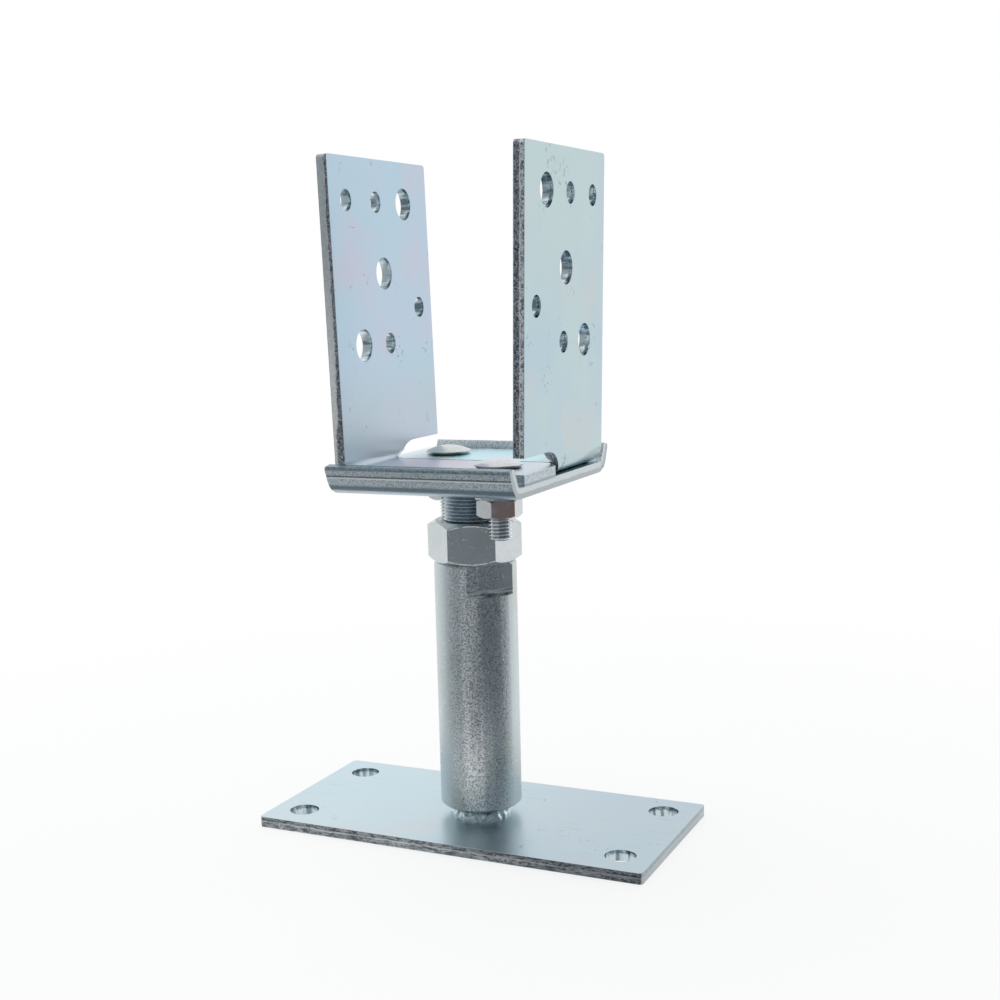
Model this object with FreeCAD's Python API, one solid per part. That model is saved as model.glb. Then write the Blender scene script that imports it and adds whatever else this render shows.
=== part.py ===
import FreeCAD, Part
import math
import os

from FreeCAD import Vector

# An adjustable timber post base, in millimetres. A turned sleeve stands on a drilled base plate.
# A threaded rod screws into the sleeve, is held by a lock nut, and carries a tray with two
# raised lips. Two equal L brackets lie in the tray, one turned half a turn against the other,
# and each is clamped by a mushroom-head bolt that runs in a slot of the tray.
# +Z is up, X runs along the base plate's long side, and the origin is under its centre.

# Base plate
plate_length = 150.0
plate_width = 72.0
plate_thickness = 4.0
plate_corner_radius = 1.5
anchor_hole_diameter = 11.0
anchor_pitch_x = 126.0
anchor_pitch_y = 47.0

# Threaded rod
rod_diameter = 22.0
rod_end_room = 17.0
rod_end_chamfer = 1.5
tenon_diameter = 16.0
rod_weld_size = 2.0

# Sleeve, turned from round bar
thread_clearance = 0.05
sleeve_wall = 3.95
sleeve_length = 91.0
sleeve_edge_chamfer = 0.8
bore_floor = 9.0
bore_mouth_chamfer = 1.0
drill_point_angle = 118.0
spigot_diameter = 18.0
spigot_height = 4.3
flat_wall = 0.95
flat_height = 11.5
flat_direction = -40.0
base_weld_reach = 2.8
base_weld_height = 3.1

# Lock nut
lock_nut_across_flats = 29.5
lock_nut_height = 15.0
lock_nut_direction = -69.5
nut_chamfer_angle = 30.0
nut_face_share = 0.95

# Tray, folded from sheet
tray_length = 69.2
tray_flat_width = 73.0
tray_thickness = 4.0
tray_bend_radius = 3.0
lip_straight = 5.0
lip_angle = 63.0
rod_showing = 13.2

# L brackets, folded from sheet
bracket_thickness = 4.0
bracket_bend_radius = 2.5
bracket_height = 111.0
post_gap = 63.4
upright_lean = 1.4
bend_sections = 6
tray_side_clearance = 0.5
leg_gap = 1.0
leg_corner_radius = 10.5
notch_headroom = 5.5
notch_past_centre = 5.0
notch_corner_radius = 2.5
upright_corner_radius = 1.5
bolt_hole_diameter = 11.5
screw_hole_diameter = 7.5
top_row_drop = 15.0
middle_bolt_drop = 40.0
edge_screw_drop = 52.5
low_row_drop = 65.0
bolt_hole_step = 17.5
top_screw_offsets = (3.5, 24.5)
edge_screw_offset = -26.0
low_screw_offset = -2.0

# Clamping bolts, eight millimetre
bolt_diameter = 8.0
bolt_length = 25.0
bolt_head_diameter = 17.0
bolt_head_height = 4.4
bolt_head_rim = 0.9
bolt_head_steps = 3
bolt_neck_clearance = 0.15
bolt_end_chamfer = 1.0
bolt_nut_across_flats = 14.0
bolt_nut_height = 6.5
bolt_nut_direction = -56.0
washer_diameter = 17.0
washer_thickness = 2.5
washer_clearance = 0.25
slot_clearance = 0.5
bolt_offset_x = 18.5
travel_out = 6.5

# How far every cutter runs past what it cuts, and how exactly an edge is found by its place
cut_margin = 1.0
same_place = 1e-6

# Levels and places that follow from the sizes above
rod_radius = rod_diameter / 2
bore_radius = rod_radius + thread_clearance
sleeve_radius = bore_radius + sleeve_wall
spigot_radius = spigot_diameter / 2
sleeve_bottom = plate_thickness + spigot_height
sleeve_top = sleeve_bottom + sleeve_length
bore_bottom = sleeve_bottom + bore_floor
rod_bottom = bore_bottom + rod_end_room
lock_nut_top = sleeve_top + lock_nut_height
tray_bottom = lock_nut_top + rod_showing
tray_floor = tray_bottom + tray_thickness
leg_top = tray_floor + bracket_thickness
upright_top = tray_floor + bracket_height
upright_inner = post_gap / 2
upright_outer = upright_inner + bracket_thickness
bracket_half_width = tray_flat_width / 2 - tray_side_clearance
leg_inner_edge = leg_gap / 2
bolt_offset_y = (bracket_half_width + leg_inner_edge) / 2
bend_centre_x = upright_inner - bracket_bend_radius
bend_centre_z = leg_top + bracket_bend_radius

UP = Vector(0, 0, 1)


def box(low, high):
    """A block between two opposite corners."""
    size = [high[i] - low[i] for i in range(3)]
    return Part.makeBox(size[0], size[1], size[2], Vector(*low))


def upright_rod(radius, bottom, top, x=0.0, y=0.0):
    """A vertical cylinder."""
    return Part.makeCylinder(radius, top - bottom, Vector(x, y, bottom))


def turned(outline):
    """A solid turned about Z from (radius, height) points, closed back to the first."""
    corners = [Vector(radius, 0, height) for radius, height in outline]
    wire = Part.makePolygon(corners + corners[:1])
    return Part.Face(wire).revolve(Vector(0, 0, 0), UP, 360)


def extruded(edges, direction):
    """A solid made by pushing a closed chain of edges along a vector."""
    return Part.Face(Part.Wire(edges)).extrude(direction)


def half_turn(shape):
    """The same piece turned half a turn about the rod's axis."""
    copy = shape.copy()
    copy.rotate(Vector(0, 0, 0), UP, 180)
    return copy


def hexagon(across_flats, bottom, height, direction):
    """A hexagonal prism with one flat facing the given direction, in degrees from +X."""
    corner = across_flats / math.sqrt(3)
    points = []
    for step in range(7):
        angle = math.radians(direction + 30 + 60 * step)
        points.append(Vector(corner * math.cos(angle), corner * math.sin(angle), bottom))
    return Part.Face(Part.makePolygon(points)).extrude(Vector(0, 0, height))


def hex_nut(across_flats, bottom, height, hole_radius, direction):
    """A hexagon nut with both ends chamfered."""
    corner = across_flats / math.sqrt(3) + cut_margin
    face_radius = nut_face_share * across_flats / 2
    drop = (corner - face_radius) * math.tan(math.radians(nut_chamfer_angle))
    top = bottom + height
    blank = turned([
        (0, bottom),
        (face_radius, bottom),
        (corner, bottom + drop),
        (corner, top - drop),
        (face_radius, top),
        (0, top),
    ])
    hole = upright_rod(hole_radius, bottom - cut_margin, top + cut_margin)
    return hexagon(across_flats, bottom, height, direction).common(blank).cut(hole)


def bend_points(start, angle_in, angle_out, radius):
    """Start, middle and end of a round bend that turns left, with headings in degrees, in a plane."""
    centre = (
        start[0] - radius * math.sin(math.radians(angle_in)),
        start[1] + radius * math.cos(math.radians(angle_in)),
    )
    points = []
    for angle in (angle_in, (angle_in + angle_out) / 2, angle_out):
        points.append((
            centre[0] + radius * math.sin(math.radians(angle)),
            centre[1] - radius * math.cos(math.radians(angle)),
        ))
    return points


def make_base_plate():
    """Flat bar with slightly rounded corners and a plain hole near each corner."""
    half_x = plate_length / 2
    half_y = plate_width / 2
    plate = box((-half_x, -half_y, 0), (half_x, half_y, plate_thickness))
    corners = [edge for edge in plate.Edges if abs(edge.tangentAt(edge.FirstParameter).z) > 0.9]
    plate = plate.makeFillet(plate_corner_radius, corners)
    for x in (-anchor_pitch_x / 2, anchor_pitch_x / 2):
        for y in (-anchor_pitch_y / 2, anchor_pitch_y / 2):
            hole = upright_rod(anchor_hole_diameter / 2, -cut_margin, plate_thickness + cut_margin, x, y)
            plate = plate.cut(hole)
    return plate


def make_sleeve():
    """Round bar with a short spigot below, a blind threaded bore above and two spanner flats."""
    edge = sleeve_edge_chamfer
    bar = turned([
        (0, plate_thickness),
        (spigot_radius, plate_thickness),
        (spigot_radius, sleeve_bottom),
        (sleeve_radius - edge, sleeve_bottom),
        (sleeve_radius, sleeve_bottom + edge),
        (sleeve_radius, sleeve_top - edge),
        (sleeve_radius - edge, sleeve_top),
        (0, sleeve_top),
    ])
    point_depth = bore_radius / math.tan(math.radians(drill_point_angle / 2))
    bore = turned([
        (0, bore_bottom - point_depth),
        (bore_radius, bore_bottom),
        (bore_radius, sleeve_top - bore_mouth_chamfer),
        (bore_radius + bore_mouth_chamfer, sleeve_top),
        (bore_radius + bore_mouth_chamfer, sleeve_top + cut_margin),
        (0, sleeve_top + cut_margin),
    ])
    flat_distance = bore_radius + flat_wall
    cutter = box(
        (flat_distance, -sleeve_radius, sleeve_top - flat_height),
        (sleeve_radius + cut_margin, sleeve_radius, sleeve_top + cut_margin),
    )
    cutter.rotate(Vector(0, 0, 0), UP, flat_direction)
    return bar.cut(bore).cut(cutter).cut(half_turn(cutter))


def make_base_weld():
    """A fillet bead laid round the spigot, below the sleeve's shoulder."""
    return turned([
        (spigot_radius, plate_thickness),
        (spigot_radius + base_weld_reach, plate_thickness),
        (spigot_radius, plate_thickness + base_weld_height),
    ])


def make_threaded_rod():
    """The rod's thread envelope, with a chamfered lower end and a tenon through the tray."""
    return turned([
        (0, rod_bottom),
        (rod_radius - rod_end_chamfer, rod_bottom),
        (rod_radius, rod_bottom + rod_end_chamfer),
        (rod_radius, tray_bottom),
        (tenon_diameter / 2, tray_bottom),
        (tenon_diameter / 2, tray_floor),
        (0, tray_floor),
    ])


def make_rod_weld():
    """The flush weld that fills the countersink round the tenon, level with the tray's floor."""
    inner = tenon_diameter / 2
    return turned([
        (inner, tray_floor - rod_weld_size),
        (inner + rod_weld_size, tray_floor),
        (inner, tray_floor),
    ])


def lip_edges(side):
    """Outer and inner line of one lip, from the floor's bend outwards, as points in Y and Z."""
    start = tray_flat_width / 2
    outer_radius = tray_bend_radius + tray_thickness
    outer_bend = bend_points((start, tray_bottom), 0, lip_angle, outer_radius)
    inner_bend = bend_points((start, tray_floor), 0, lip_angle, tray_bend_radius)
    lean = math.radians(lip_angle)
    run = (lip_straight * math.cos(lean), lip_straight * math.sin(lean))
    outer_tip = (outer_bend[2][0] + run[0], outer_bend[2][1] + run[1])
    inner_tip = (inner_bend[2][0] + run[0], inner_bend[2][1] + run[1])
    outer = [Vector(0, side * y, z) for y, z in outer_bend + [outer_tip]]
    inner = [Vector(0, side * y, z) for y, z in inner_bend + [inner_tip]]
    return outer, inner


def make_tray():
    """A folded channel, open at both ends, with a slot for each bolt and a hole for the rod."""
    front_outer, front_inner = lip_edges(-1)
    rear_outer, rear_inner = lip_edges(1)
    edges = [Part.LineSegment(front_outer[0], rear_outer[0]).toShape()]
    for outer, inner in ((rear_outer, rear_inner), (front_outer, front_inner)):
        edges.append(Part.Arc(outer[0], outer[1], outer[2]).toShape())
        edges.append(Part.LineSegment(outer[2], outer[3]).toShape())
        edges.append(Part.LineSegment(outer[3], inner[3]).toShape())
        edges.append(Part.LineSegment(inner[3], inner[2]).toShape())
        edges.append(Part.Arc(inner[2], inner[1], inner[0]).toShape())
    edges.append(Part.LineSegment(rear_inner[0], front_inner[0]).toShape())
    tray = extruded(Part.__sortEdges__(edges), Vector(tray_length, 0, 0))
    tray.translate(Vector(-tray_length / 2, 0, 0))
    slot = make_slot()
    hole = turned([
        (0, tray_bottom - cut_margin),
        (tenon_diameter / 2, tray_bottom - cut_margin),
        (tenon_diameter / 2, tray_floor - rod_weld_size),
        (tenon_diameter / 2 + rod_weld_size, tray_floor),
        (tenon_diameter / 2 + rod_weld_size, tray_floor + cut_margin),
        (0, tray_floor + cut_margin),
    ])
    return tray.cut(slot).cut(half_turn(slot)).cut(hole)


def make_slot():
    """The cutter for the front bolt's slot, as long as the bracket's travel."""
    radius = bolt_diameter / 2 + slot_clearance
    low_x = bolt_offset_x - travel_out
    high_x = bolt_offset_x
    bottom = tray_bottom - cut_margin
    top = tray_floor + cut_margin
    middle = box((low_x, -bolt_offset_y - radius, bottom), (high_x, -bolt_offset_y + radius, top))
    for x in (low_x, high_x):
        middle = middle.fuse(upright_rod(radius, bottom, top, x, -bolt_offset_y))
    return middle


def leaned(x, y, z):
    """A point of the right-hand upright, turned outwards about its bend by the upright's lean."""
    lean = math.radians(upright_lean)
    out = x - bend_centre_x
    rise = z - bend_centre_z
    return Vector(
        bend_centre_x + out * math.cos(lean) + rise * math.sin(lean),
        y,
        bend_centre_z + rise * math.cos(lean) - out * math.sin(lean),
    )


def make_bracket_blank():
    """The right-hand bracket's L section, pushed across its whole width."""
    front = -bracket_half_width
    bend_angle = 90 - upright_lean
    outer_radius = bracket_bend_radius + bracket_thickness
    outer = bend_points((bend_centre_x, tray_floor), 0, bend_angle, outer_radius)
    inner = bend_points((bend_centre_x, leg_top), 0, bend_angle, bracket_bend_radius)
    outer = [Vector(x, front, z) for x, z in outer]
    inner = [Vector(x, front, z) for x, z in inner]
    leg_low = Vector(-upright_outer, front, tray_floor)
    leg_high = Vector(-upright_outer, front, leg_top)
    top_out = leaned(upright_outer, front, upright_top)
    top_in = leaned(upright_inner, front, upright_top)
    edges = [
        Part.LineSegment(leg_low, outer[0]).toShape(),
        Part.Arc(outer[0], outer[1], outer[2]).toShape(),
        Part.LineSegment(outer[2], top_out).toShape(),
        Part.LineSegment(top_out, top_in).toShape(),
        Part.LineSegment(top_in, inner[2]).toShape(),
        Part.Arc(inner[2], inner[1], inner[0]).toShape(),
        Part.LineSegment(inner[0], leg_high).toShape(),
        Part.LineSegment(leg_high, leg_low).toShape(),
    ]
    return extruded(edges, Vector(0, 2 * bracket_half_width, 0))


def notch_side_at_bend():
    """Y where the notch's nested curve meets the start of the bend."""
    run = bend_centre_x - (upright_outer - leg_corner_radius)
    return leg_inner_edge - leg_corner_radius + math.sqrt(leg_corner_radius ** 2 - run ** 2)


def make_leg_cutter():
    """Takes the front half of the leg and curves round the other bracket's leg end."""
    front = -bracket_half_width - cut_margin
    far = -upright_outer - cut_margin
    curve_x = upright_outer - leg_corner_radius
    half_x = (curve_x + bend_centre_x) / 2
    half_run = half_x - curve_x
    half_y = leg_inner_edge - leg_corner_radius + math.sqrt(leg_corner_radius ** 2 - half_run ** 2)
    low = tray_floor - cut_margin
    curve_start = Vector(curve_x, leg_inner_edge, low)
    curve_end = Vector(bend_centre_x, notch_side_at_bend(), low)
    far_back = Vector(far, leg_inner_edge, low)
    far_front = Vector(far, front, low)
    near_front = Vector(bend_centre_x, front, low)
    edges = [
        Part.LineSegment(far_front, far_back).toShape(),
        Part.LineSegment(far_back, curve_start).toShape(),
        Part.Arc(curve_start, Vector(half_x, half_y, low), curve_end).toShape(),
        Part.LineSegment(curve_end, near_front).toShape(),
        Part.LineSegment(near_front, far_front).toShape(),
    ]
    return extruded(edges, Vector(0, 0, bracket_thickness + 2 * cut_margin))


def make_bend_cutter():
    """Carries the notch's side round the bend, square to the sheet, from the leg to the upright."""
    front = -bracket_half_width - cut_margin
    near = bracket_bend_radius - cut_margin
    far = bracket_bend_radius + bracket_thickness + cut_margin
    bend_angle = math.radians(90 - upright_lean)
    start = notch_side_at_bend()
    sections = []
    for step in range(bend_sections + 1):
        angle = bend_angle * step / bend_sections
        share = (1 - math.cos(angle)) / (1 - math.cos(bend_angle))
        side = start - share * (start + notch_past_centre)
        corners = []
        for radius, y in ((near, front), (far, front), (far, side), (near, side), (near, front)):
            x = bend_centre_x + radius * math.sin(angle)
            z = bend_centre_z - radius * math.cos(angle)
            corners.append(Vector(x, y, z))
        sections.append(Part.makePolygon(corners))
    return Part.makeLoft(sections, True, False)


def make_upright_cutter():
    """Takes the notch out of the upright, with a rounded inner corner."""
    top = leg_top + notch_headroom
    cutter = box(
        (upright_inner - cut_margin, -bracket_half_width - cut_margin, bend_centre_z),
        (upright_outer + cut_margin, -notch_past_centre, top),
    )
    corner = [
        edge for edge in cutter.Edges
        if abs(edge.CenterOfMass.y + notch_past_centre) < same_place
        and abs(edge.CenterOfMass.z - top) < same_place
    ]
    cutter = cutter.makeFillet(notch_corner_radius, corner)
    cutter.rotate(Vector(bend_centre_x, 0, bend_centre_z), Vector(0, 1, 0), upright_lean)
    return cutter


def upright_holes():
    """Y place, drop below the top edge and diameter of each hole in the right-hand upright."""
    holes = [
        (-bolt_hole_step, top_row_drop, bolt_hole_diameter),
        (0.0, middle_bolt_drop, bolt_hole_diameter),
        (bolt_hole_step, low_row_drop, bolt_hole_diameter),
        (edge_screw_offset, edge_screw_drop, screw_hole_diameter),
        (low_screw_offset, low_row_drop, screw_hole_diameter),
    ]
    for offset in top_screw_offsets:
        holes.append((offset, top_row_drop, screw_hole_diameter))
    return holes


def make_bracket():
    """The right-hand bracket: its leg lies along the rear half of the tray."""
    bracket = make_bracket_blank()
    for cutter in (make_leg_cutter(), make_bend_cutter(), make_upright_cutter()):
        bracket = bracket.cut(cutter)
    leg_corner = [
        edge for edge in bracket.Edges
        if abs(edge.CenterOfMass.x + upright_outer) < same_place
        and abs(edge.CenterOfMass.y - leg_inner_edge) < same_place
        and abs(edge.tangentAt(edge.FirstParameter).z) > 0.9
    ]
    top_corners = [
        edge for edge in bracket.Edges
        if edge.CenterOfMass.z > upright_top - top_row_drop
        and abs(abs(edge.CenterOfMass.y) - bracket_half_width) < same_place
        and abs(edge.tangentAt(edge.FirstParameter).x) > 0.9
    ]
    bracket = bracket.makeFillet(leg_corner_radius, leg_corner)
    bracket = bracket.makeFillet(upright_corner_radius, top_corners)
    for y, drop, diameter in upright_holes():
        start = leaned(upright_inner - cut_margin, y, upright_top - drop)
        end = leaned(upright_outer + cut_margin, y, upright_top - drop)
        drill = Part.makeCylinder(diameter / 2, bracket_thickness + 2 * cut_margin, start, end - start)
        bracket = bracket.cut(drill)
    half_neck = bolt_diameter / 2 + bolt_neck_clearance
    neck_hole = box(
        (-bolt_offset_x - half_neck, bolt_offset_y - half_neck, tray_floor - cut_margin),
        (-bolt_offset_x + half_neck, bolt_offset_y + half_neck, leg_top + cut_margin),
    )
    return bracket.cut(neck_hole)


def dome_outline():
    """Points of the bolt head's domed side, from its rim to its crown, as (radius, height)."""
    head_radius = bolt_head_diameter / 2
    dome = bolt_head_height - bolt_head_rim
    ball_radius = (head_radius ** 2 + dome ** 2) / (2 * dome)
    ball_centre = leg_top + bolt_head_height - ball_radius
    half_angle = math.asin(head_radius / ball_radius)
    points = []
    for step in range(bolt_head_steps + 1):
        angle = half_angle * (1 - step / bolt_head_steps)
        points.append((ball_radius * math.sin(angle), ball_centre + ball_radius * math.cos(angle)))
    return points


def make_bolt():
    """The rear mushroom-head bolt, its square neck sunk in the right-hand bracket's leg."""
    head = turned([(0, leg_top), (bolt_head_diameter / 2, leg_top)] + dome_outline())
    half = bolt_diameter / 2
    neck_bottom = tray_floor + bolt_neck_clearance
    neck = box((-half, -half, neck_bottom), (half, half, leg_top))
    end = leg_top - bolt_length
    shank = turned([
        (0, end),
        (half - bolt_end_chamfer, end),
        (half, end + bolt_end_chamfer),
        (half, neck_bottom),
        (0, neck_bottom),
    ])
    bolt = head.fuse(neck).fuse(shank).removeSplitter()
    bolt.translate(Vector(-bolt_offset_x, bolt_offset_y, 0))
    return bolt


def make_washer():
    """The washer that bridges the tray's slot under the rear bolt's nut."""
    bottom = tray_bottom - washer_thickness
    hole_radius = bolt_diameter / 2 + washer_clearance
    ring = upright_rod(washer_diameter / 2, bottom, tray_bottom)
    washer = ring.cut(upright_rod(hole_radius, bottom - cut_margin, tray_bottom + cut_margin))
    washer.translate(Vector(-bolt_offset_x, bolt_offset_y, 0))
    return washer


def make_bolt_nut(direction):
    """The nut under the rear bolt's washer."""
    bottom = tray_bottom - washer_thickness - bolt_nut_height
    hole_radius = bolt_diameter / 2 + thread_clearance
    nut = hex_nut(bolt_nut_across_flats, bottom, bolt_nut_height, hole_radius, direction)
    nut.translate(Vector(-bolt_offset_x, bolt_offset_y, 0))
    return nut


def make_pieces():
    """Every piece of the post base, by name."""
    bracket = make_bracket()
    bolt = make_bolt()
    washer = make_washer()
    nut = make_bolt_nut(bolt_nut_direction)
    lock_nut = hex_nut(lock_nut_across_flats, sleeve_top, lock_nut_height, bore_radius, lock_nut_direction)
    return {
        "base_plate": make_base_plate(),
        "sleeve": make_sleeve(),
        "base_weld": make_base_weld(),
        "threaded_rod": make_threaded_rod(),
        "rod_weld": make_rod_weld(),
        "lock_nut": lock_nut,
        "tray": make_tray(),
        "bracket_right": bracket,
        "bracket_left": half_turn(bracket),
        "bolt_rear": bolt,
        "bolt_front": half_turn(bolt),
        "washer_rear": washer,
        "washer_front": half_turn(washer),
        "bolt_nut_rear": nut,
        "bolt_nut_front": half_turn(nut),
    }


os.makedirs("parts", exist_ok=True)
for name, shape in make_pieces().items():
    shape.exportStep("parts/" + name + ".step")
    print(name, "valid", shape.isValid(), "solids", len(shape.Solids), "volume", round(shape.Volume, 1))
print("overall height", upright_top, "sleeve diameter", 2 * sleeve_radius)
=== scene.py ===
# %% [markdown]
# # A timber post base in bright zinc
#
# A post base holds the foot of a timber post clear of the ground. A drilled plate is bolted to
# concrete, a sleeve stands on it, and a threaded rod in the sleeve carries a tray. Two L brackets
# lie in the tray and rise on either side of the post.
#
# The construction comes from the CAD frame, at its real size. This script adds what a CAD model
# leaves out: rolled threads, a lumpy weld, softened edges and the many looks of zinc plating.

import math

import bpy
from mathutils import Matrix, Vector, noise


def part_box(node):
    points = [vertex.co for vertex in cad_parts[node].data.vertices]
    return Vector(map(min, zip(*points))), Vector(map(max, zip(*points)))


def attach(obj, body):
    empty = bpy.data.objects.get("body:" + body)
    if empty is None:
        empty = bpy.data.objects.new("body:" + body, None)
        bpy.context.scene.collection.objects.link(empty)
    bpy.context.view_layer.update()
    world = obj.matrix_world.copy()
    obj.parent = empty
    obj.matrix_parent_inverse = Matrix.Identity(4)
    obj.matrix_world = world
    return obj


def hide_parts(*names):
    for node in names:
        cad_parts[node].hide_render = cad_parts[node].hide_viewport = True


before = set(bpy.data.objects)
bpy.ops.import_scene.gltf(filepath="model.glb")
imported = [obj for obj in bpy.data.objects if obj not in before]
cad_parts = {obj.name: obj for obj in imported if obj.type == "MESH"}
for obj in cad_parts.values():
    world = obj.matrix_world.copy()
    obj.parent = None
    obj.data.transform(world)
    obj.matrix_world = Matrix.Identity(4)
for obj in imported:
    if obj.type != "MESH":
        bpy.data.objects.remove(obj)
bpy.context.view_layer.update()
MM = 0.001
print("nodes", sorted(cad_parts))

# %% [markdown]
# ## Sizes read from the frame
#
# Everything that is added has to fit what is already there, so the sizes are measured on the CAD
# nodes instead of being typed again. Only what can't be measured from a node's box, such as a
# thread's pitch or a bend's radius, is given here as a number.

# %% Measure the nodes
tray_low, tray_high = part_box("tray")
rod_low, rod_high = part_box("threaded_rod")
lock_nut_low, lock_nut_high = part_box("lock_nut")
weld_low, weld_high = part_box("base_weld")
sleeve_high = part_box("sleeve")[1]
plate_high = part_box("base_plate")[1]
bracket_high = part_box("bracket_right")[1]

SHEET = 4.0 * MM
THREAD_PITCH = 1.25 * MM
rod_radius = rod_high[0]
tray_floor = tray_low[2] + SHEET
leg_top = tray_floor + SHEET
POST_GAP = 63.4 * MM
upright_outer = POST_GAP / 2 + SHEET
print("rod radius", round(rod_radius / MM, 2), "tray floor", round(tray_floor / MM, 2))

# %% [markdown]
# ## Meshes made from rows of points
#
# A thread, a weld bead and a domed head are all surfaces that run round an axis. Each can be made
# as a grid: rows of points that follow one another, closed round the axis. One helper joins such
# rows into a mesh, and each piece only has to say where its points lie.

# %% A helper that joins rows of points
def skin_rows(name, rows, cap_first=True, cap_last=True):
    """A mesh object from equal rows of points, each row closed on itself."""
    count = len(rows[0])
    points = [point for row in rows for point in row]
    faces = []
    for row in range(len(rows) - 1):
        for step in range(count):
            near = row * count + step
            beside = row * count + (step + 1) % count
            faces.append((near, beside, beside + count, near + count))
    if cap_first:
        faces.append(tuple(reversed(range(count))))
    if cap_last:
        start = (len(rows) - 1) * count
        faces.append(tuple(range(start, start + count)))
    mesh = bpy.data.meshes.new(name)
    mesh.from_pydata(points, [], faces)
    mesh.shade_smooth()
    piece = bpy.data.objects.new(name, mesh)
    bpy.context.scene.collection.objects.link(piece)
    print(name, "has", len(mesh.polygons), "faces")
    return piece


def ring(radius, height, centre=(0.0, 0.0), count=64, first=0.0):
    """A level circle of points, from a first angle in radians."""
    angles = [first + 2 * math.pi * step / count for step in range(count)]
    return [
        (centre[0] + radius * math.cos(angle), centre[1] + radius * math.sin(angle), height)
        for angle in angles
    ]


def sharpen(piece, degrees):
    """Marks the edges that turn by more than this, so that they stay crisp in smooth shading."""
    piece.data.set_sharp_from_angle(angle=math.radians(degrees))


# %% [markdown]
# ## Rolled threads
#
# A thread is one ridge wound round a rod. It could be a screw modifier on a small profile, but its
# ends are then hard to control. Here the points of each row lie on the helix itself: a row starts
# at one height and has climbed one pitch when it comes round again, so crest and root stay clean
# lines. Where the helix runs past an end, its points are held at that end and drawn inwards.

# %% The thread's section, and a helper that winds it
# (place along one pitch, depth below the crest), both as a share.
THREAD_SECTION = (
    (0.00, 0.12), (0.06, 0.0), (0.16, 0.0), (0.22, 0.12),
    (0.52, 0.94), (0.58, 1.0), (0.68, 1.0), (0.74, 0.94),
)
THREAD_DEPTH = 0.60 * THREAD_PITCH


def wind_thread(name, radius, bottom, top, centre=(0.0, 0.0), count=64, lead_in=1.2 * MM):
    """A threaded cylinder with chamfered ends, its crests at the given radius."""
    first = math.floor(bottom / THREAD_PITCH) - 1
    last = math.ceil(top / THREAD_PITCH) + 1
    rows = [ring(radius - lead_in, bottom, centre, count)]
    for turn in range(first, last):
        for place, depth in THREAD_SECTION:
            row = []
            for step in range(count):
                share = step / count
                angle = 2 * math.pi * share
                height = (turn + place + share) * THREAD_PITCH
                held = min(max(height, bottom), top)
                from_end = min(held - bottom, top - held)
                limit = radius - max(lead_in - from_end, 0.0)
                size = min(radius - depth * THREAD_DEPTH, limit)
                row.append((centre[0] + size * math.cos(angle), centre[1] + size * math.sin(angle), held))
            rows.append(row)
    rows.append(ring(radius - lead_in, top, centre, count))
    return skin_rows(name, rows)


# %% The rod
rod_thread = wind_thread("rod_thread", rod_radius, rod_low[2], tray_low[2], count=96)
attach(rod_thread, "stem")
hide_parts("threaded_rod")

# %% [markdown]
# ## Mushroom-head bolts
#
# Each bracket is clamped by a bolt with a low domed head. Under the head a square neck sits in the
# bracket's leg and keeps the bolt from turning. The head is a turned shape, so it is a stack of
# rings: a small seat, an undercut that widens to the thin rim, and a flat arc over the top. The
# neck stays hidden in the leg.

# %% A helper for one bolt
BOLT_RADIUS = 4.0 * MM
HEAD_SEAT = 0.9 * MM
HEAD_UNDERCUT = 1.0 * MM
HEAD_RIM = 0.25 * MM
HEAD_DOME = 2.1 * MM
DOME_STEPS = 16
RIM_EDGE = 0.12 * MM
RIM_EDGE_HEIGHT = 0.10 * MM
NECK_ABOVE_TRAY = 0.15 * MM
BOLT_LEAD_IN = 0.8 * MM


def make_bolt(name, node, body):
    """Head, neck and thread of one bolt, three pieces in place of its CAD node."""
    low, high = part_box(node)
    centre = ((low[0] + high[0]) / 2, (low[1] + high[1]) / 2)
    head_radius = (high[0] - low[0]) / 2
    rim_low = leg_top + HEAD_UNDERCUT
    rim_high = rim_low + HEAD_RIM
    ball = (head_radius ** 2 + HEAD_DOME ** 2) / (2 * HEAD_DOME)
    widest = math.asin(head_radius / ball)
    rows = [
        ring(head_radius - HEAD_SEAT, leg_top, centre),
        ring(head_radius - RIM_EDGE, rim_low - RIM_EDGE_HEIGHT, centre),
        ring(head_radius, rim_low, centre),
        ring(head_radius, rim_high, centre),
    ]
    for step in range(1, DOME_STEPS + 1):
        angle = widest * (1 - step / (DOME_STEPS + 1))
        height = rim_high + HEAD_DOME - ball * (1 - math.cos(angle))
        rows.append(ring(ball * math.sin(angle), height, centre))
    head = skin_rows(name + "_head", rows)
    sharpen(head, 50)
    corner = BOLT_RADIUS * math.sqrt(2)
    neck = skin_rows(name + "_neck", [
        ring(corner, height, centre, 4, math.pi / 4) for height in (tray_floor + NECK_ABOVE_TRAY, leg_top)
    ])
    sharpen(neck, 30)
    shank = wind_thread(name + "_thread", BOLT_RADIUS, low[2], tray_floor, centre, 40, BOLT_LEAD_IN)
    for piece in (head, neck, shank):
        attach(piece, body)
        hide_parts(node)
    return head, neck, shank


# %% Both bolts
front_bolt = make_bolt("front_bolt", "bolt_front", "left_bracket")
rear_bolt = make_bolt("rear_bolt", "bolt_rear", "right_bracket")

# %% [markdown]
# ## The weld bead
#
# The sleeve's spigot is welded to the plate all round. A hand-laid bead is a chain of small
# overlapping puddles: its foot wanders a little and its back rises and falls. The bead is a ring of
# short arcs whose size follows a puddle count and a slow noise.

# %% The bead round the spigot
BEAD_PUDDLES = 17
BEAD_STEPS = 312
BEAD_ARC = 12
BEAD_SIZE = 0.85
PUDDLE_PART = 0.035
LUMP_PART = 0.12
FINE_PART = 0.10
SPIGOT_RADIUS = 9.0 * MM


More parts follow.
